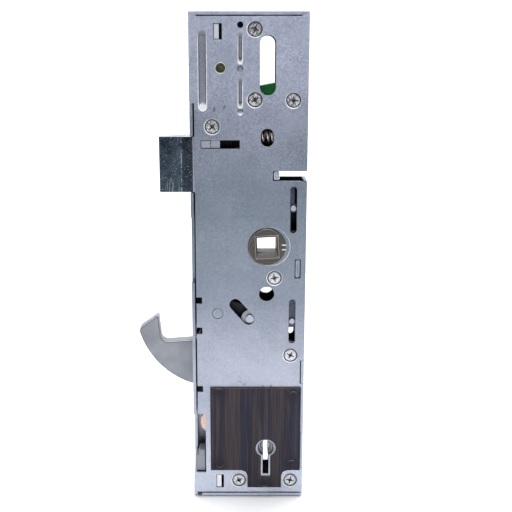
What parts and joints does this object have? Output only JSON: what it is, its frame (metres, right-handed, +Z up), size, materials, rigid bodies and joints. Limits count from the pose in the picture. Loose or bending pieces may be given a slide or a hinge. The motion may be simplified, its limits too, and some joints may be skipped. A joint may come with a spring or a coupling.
{
  "type": "mortise lock",
  "caption": "Narrow folded-steel mortise lock centre case with bevelled latch, hook bolt, split spindle follower and a key-operated lever deadlock behind a hardened plate.",
  "frame": {"origin": "front wall's outer face (where the faceplate screws on), at mid thickness and at the height of the spindle", "axes": "+Z up along the case, -X the way the latch and the hook bolt leave, -Y towards the front cover"},
  "size_m": [0.0719, 0.0178, 0.2112],
  "materials": {
    "back_case": "zinc-plated sheet steel, finely mottled",
    "front_cover": "zinc-plated sheet steel, finely mottled",
    "hardened_plate": "hardened steel, heat-tinted in vertical streaks",
    "case_rivet": "plated",
    "hook_pivot_pin": "riveted flush",
    "fixing_slot_insert": "moulded, green",
    "slider_guide_pad": "plated",
    "latch_spring_seat": "plated",
    "latch_lever_pin": "turned",
    "lever_pivot_pin": "turned",
    "slide_guide_post": "turned",
    "slider_spring_stop": "plated",
    "lever_pack_spacer": "zinc die casting, light grey",
    "case_screw": "zinc plated, countersunk",
    "case_pillar": "turned",
    "latch_spring": "coppered spring wire",
    "slider_spring": "coppered spring wire",
    "lever_spring": "phosphor bronze leaf",
    "latch_bolt": "dark polished plate",
    "latch_lever": "stamped",
    "follower_front": "sintered steel, dark",
    "follower_rear": "sintered steel, dark",
    "drive_slider": "zinc plated",
    "slider_pin": "riveted",
    "hook_link": "zinc plated",
    "hook_link_pin": "turned",
    "hook_bolt": "light grey plated steel",
    "key_curtain": "turned",
    "lever_plate": "stamped",
    "deadlock_slide": "zinc plated",
    "deadlock_stump": "turned"
  },
  "bodies": {
    "case": {"back_case": "back_case", "front_cover": "front_cover", "hardened_plate": "hardened_plate", "case_rivet": "case_rivet", "hook_pivot_pin": "hook_pivot_pin", "fixing_slot_insert": "fixing_slot_insert", "slider_guide_pad": "slider_guide_pad", "latch_spring_seat": "latch_spring_seat", "latch_lever_pin": "latch_lever_pin", "lever_pivot_pin": "lever_pivot_pin", "slide_guide_post": "slide_guide_post", "slider_spring_stop": "slider_spring_stop", "lever_pack_spacer": "lever_pack_spacer", "case_screw_1": "case_screw", "case_screw_2": "case_screw", "case_screw_3": "case_screw", "case_screw_4": "case_screw", "case_screw_5": "case_screw", "case_screw_6": "case_screw", "case_screw_7": "case_screw", "case_screw_8": "case_screw", "case_pillar_1": "case_pillar", "case_pillar_2": "case_pillar", "case_pillar_3": "case_pillar", "case_pillar_4": "case_pillar", "case_pillar_5": "case_pillar", "case_pillar_6": "case_pillar", "case_pillar_7": "case_pillar", "case_pillar_8": "case_pillar", "latch_spring": "latch_spring"},
    "latch": {"latch_bolt": "latch_bolt"},
    "latch_lever": {"latch_lever": "latch_lever"},
    "front_follower": {"follower_front": "follower_front"},
    "rear_follower": {"follower_rear": "follower_rear"},
    "slider": {"drive_slider": "drive_slider", "slider_pin_upper": "slider_pin", "slider_pin_lower": "slider_pin", "slider_spring": "slider_spring"},
    "link": {"hook_link": "hook_link", "hook_link_pin": "hook_link_pin"},
    "hook": {"hook_bolt": "hook_bolt"},
    "curtain": {"key_curtain": "key_curtain"},
    "deadlock": {"deadlock_slide": "deadlock_slide", "deadlock_stump": "deadlock_stump"},
    "lever_1": {"lever_1": "lever_plate", "lever_spring_1": "lever_spring"},
    "lever_2": {"lever_2": "lever_plate", "lever_spring_2": "lever_spring"},
    "lever_3": {"lever_3": "lever_plate", "lever_spring_3": "lever_spring"},
    "lever_4": {"lever_4": "lever_plate", "lever_spring_4": "lever_spring"},
    "lever_5": {"lever_5": "lever_plate", "lever_spring_5": "lever_spring"}
  },
  "joints": [
    {"name": "front_follower_turn", "type": "hinge", "parent": "case", "child": "front_follower", "pos_m": [0.032, 0, 0], "axis": [0, -1, 0], "range_deg": [0, 34]},
    {"name": "slider_lift", "type": "slide", "parent": "case", "child": "slider", "axis": [0, 0, 1], "range_m": [0, 0.0065], "deforming": ["slider_spring"]},
    {"name": "link_slide", "type": "slide", "parent": "case", "child": "link", "axis": [-0.6593, 0, 0.7519], "range_m": [0, 0.00865]},
    {"name": "hook_turn", "type": "hinge", "parent": "case", "child": "hook", "pos_m": [0.011, 0, -0.0294], "axis": [0, -1, 0], "range_deg": [0, 70]},
    {"name": "rear_follower_turn", "type": "hinge", "parent": "case", "child": "rear_follower", "pos_m": [0.032, 0, 0], "axis": [0, -1, 0], "range_deg": [0, 34]},
    {"name": "latch_lever_turn", "type": "hinge", "parent": "case", "child": "latch_lever", "pos_m": [0.028, 0, 0.0215], "axis": [0, 1, 0], "range_deg": [0, 34]},
    {"name": "latch_slide", "type": "slide", "parent": "case", "child": "latch", "axis": [1, 0, 0], "range_m": [0, 0.0111], "stiffness_N_per_m": 300, "springref_m": -0.012, "deforming": ["latch_spring"]},
    {"name": "key_turn", "type": "hinge", "parent": "case", "child": "curtain", "pos_m": [0.032, 0, -0.092], "axis": [0, 1, 0], "range_deg": [0, 180]},
    {"name": "deadlock_throw", "type": "slide", "parent": "case", "child": "deadlock", "axis": [1, 0, 0], "range_m": [0, 0.007]},
    {"name": "lever_1_lift", "type": "hinge", "parent": "case", "child": "lever_1", "pos_m": [0.0085, 0, -0.081], "axis": [0, -1, 0], "range_deg": [0, 7], "deforming": ["lever_spring_1"]},
    {"name": "lever_2_lift", "type": "hinge", "parent": "case", "child": "lever_2", "pos_m": [0.0085, 0, -0.081], "axis": [0, -1, 0], "range_deg": [0, 7], "deforming": ["lever_spring_2"]},
    {"name": "lever_3_lift", "type": "hinge", "parent": "case", "child": "lever_3", "pos_m": [0.0085, 0, -0.081], "axis": [0, -1, 0], "range_deg": [0, 7], "deforming": ["lever_spring_3"]},
    {"name": "lever_4_lift", "type": "hinge", "parent": "case", "child": "lever_4", "pos_m": [0.0085, 0, -0.081], "axis": [0, -1, 0], "range_deg": [0, 7], "deforming": ["lever_spring_4"]},
    {"name": "lever_5_lift", "type": "hinge", "parent": "case", "child": "lever_5", "pos_m": [0.0085, 0, -0.081], "axis": [0, -1, 0], "range_deg": [0, 7], "deforming": ["lever_spring_5"]}
  ],
  "couplings": [
    {"joint": "front_follower_turn", "follows": "slider_lift", "rad_per_m": 91.294},
    {"joint": "link_slide", "follows": "slider_lift", "ratio": 1.33},
    {"joint": "hook_turn", "follows": "slider_lift", "rad_per_m": 187.96},
    {"joint": "rear_follower_turn", "follows": "latch_slide", "rad_per_m": 53.46},
    {"joint": "latch_lever_turn", "follows": "latch_slide", "rad_per_m": 53.46},
    {"joint": "key_turn", "follows": "deadlock_throw", "rad_per_m": 448.8},
    {"joint": "lever_1_lift", "follows": "deadlock_throw", "rad_per_m": 17.453},
    {"joint": "lever_2_lift", "follows": "deadlock_throw", "rad_per_m": 17.453},
    {"joint": "lever_3_lift", "follows": "deadlock_throw", "rad_per_m": 17.453},
    {"joint": "lever_4_lift", "follows": "deadlock_throw", "rad_per_m": 17.453},
    {"joint": "lever_5_lift", "follows": "deadlock_throw", "rad_per_m": 17.453}
  ]
}
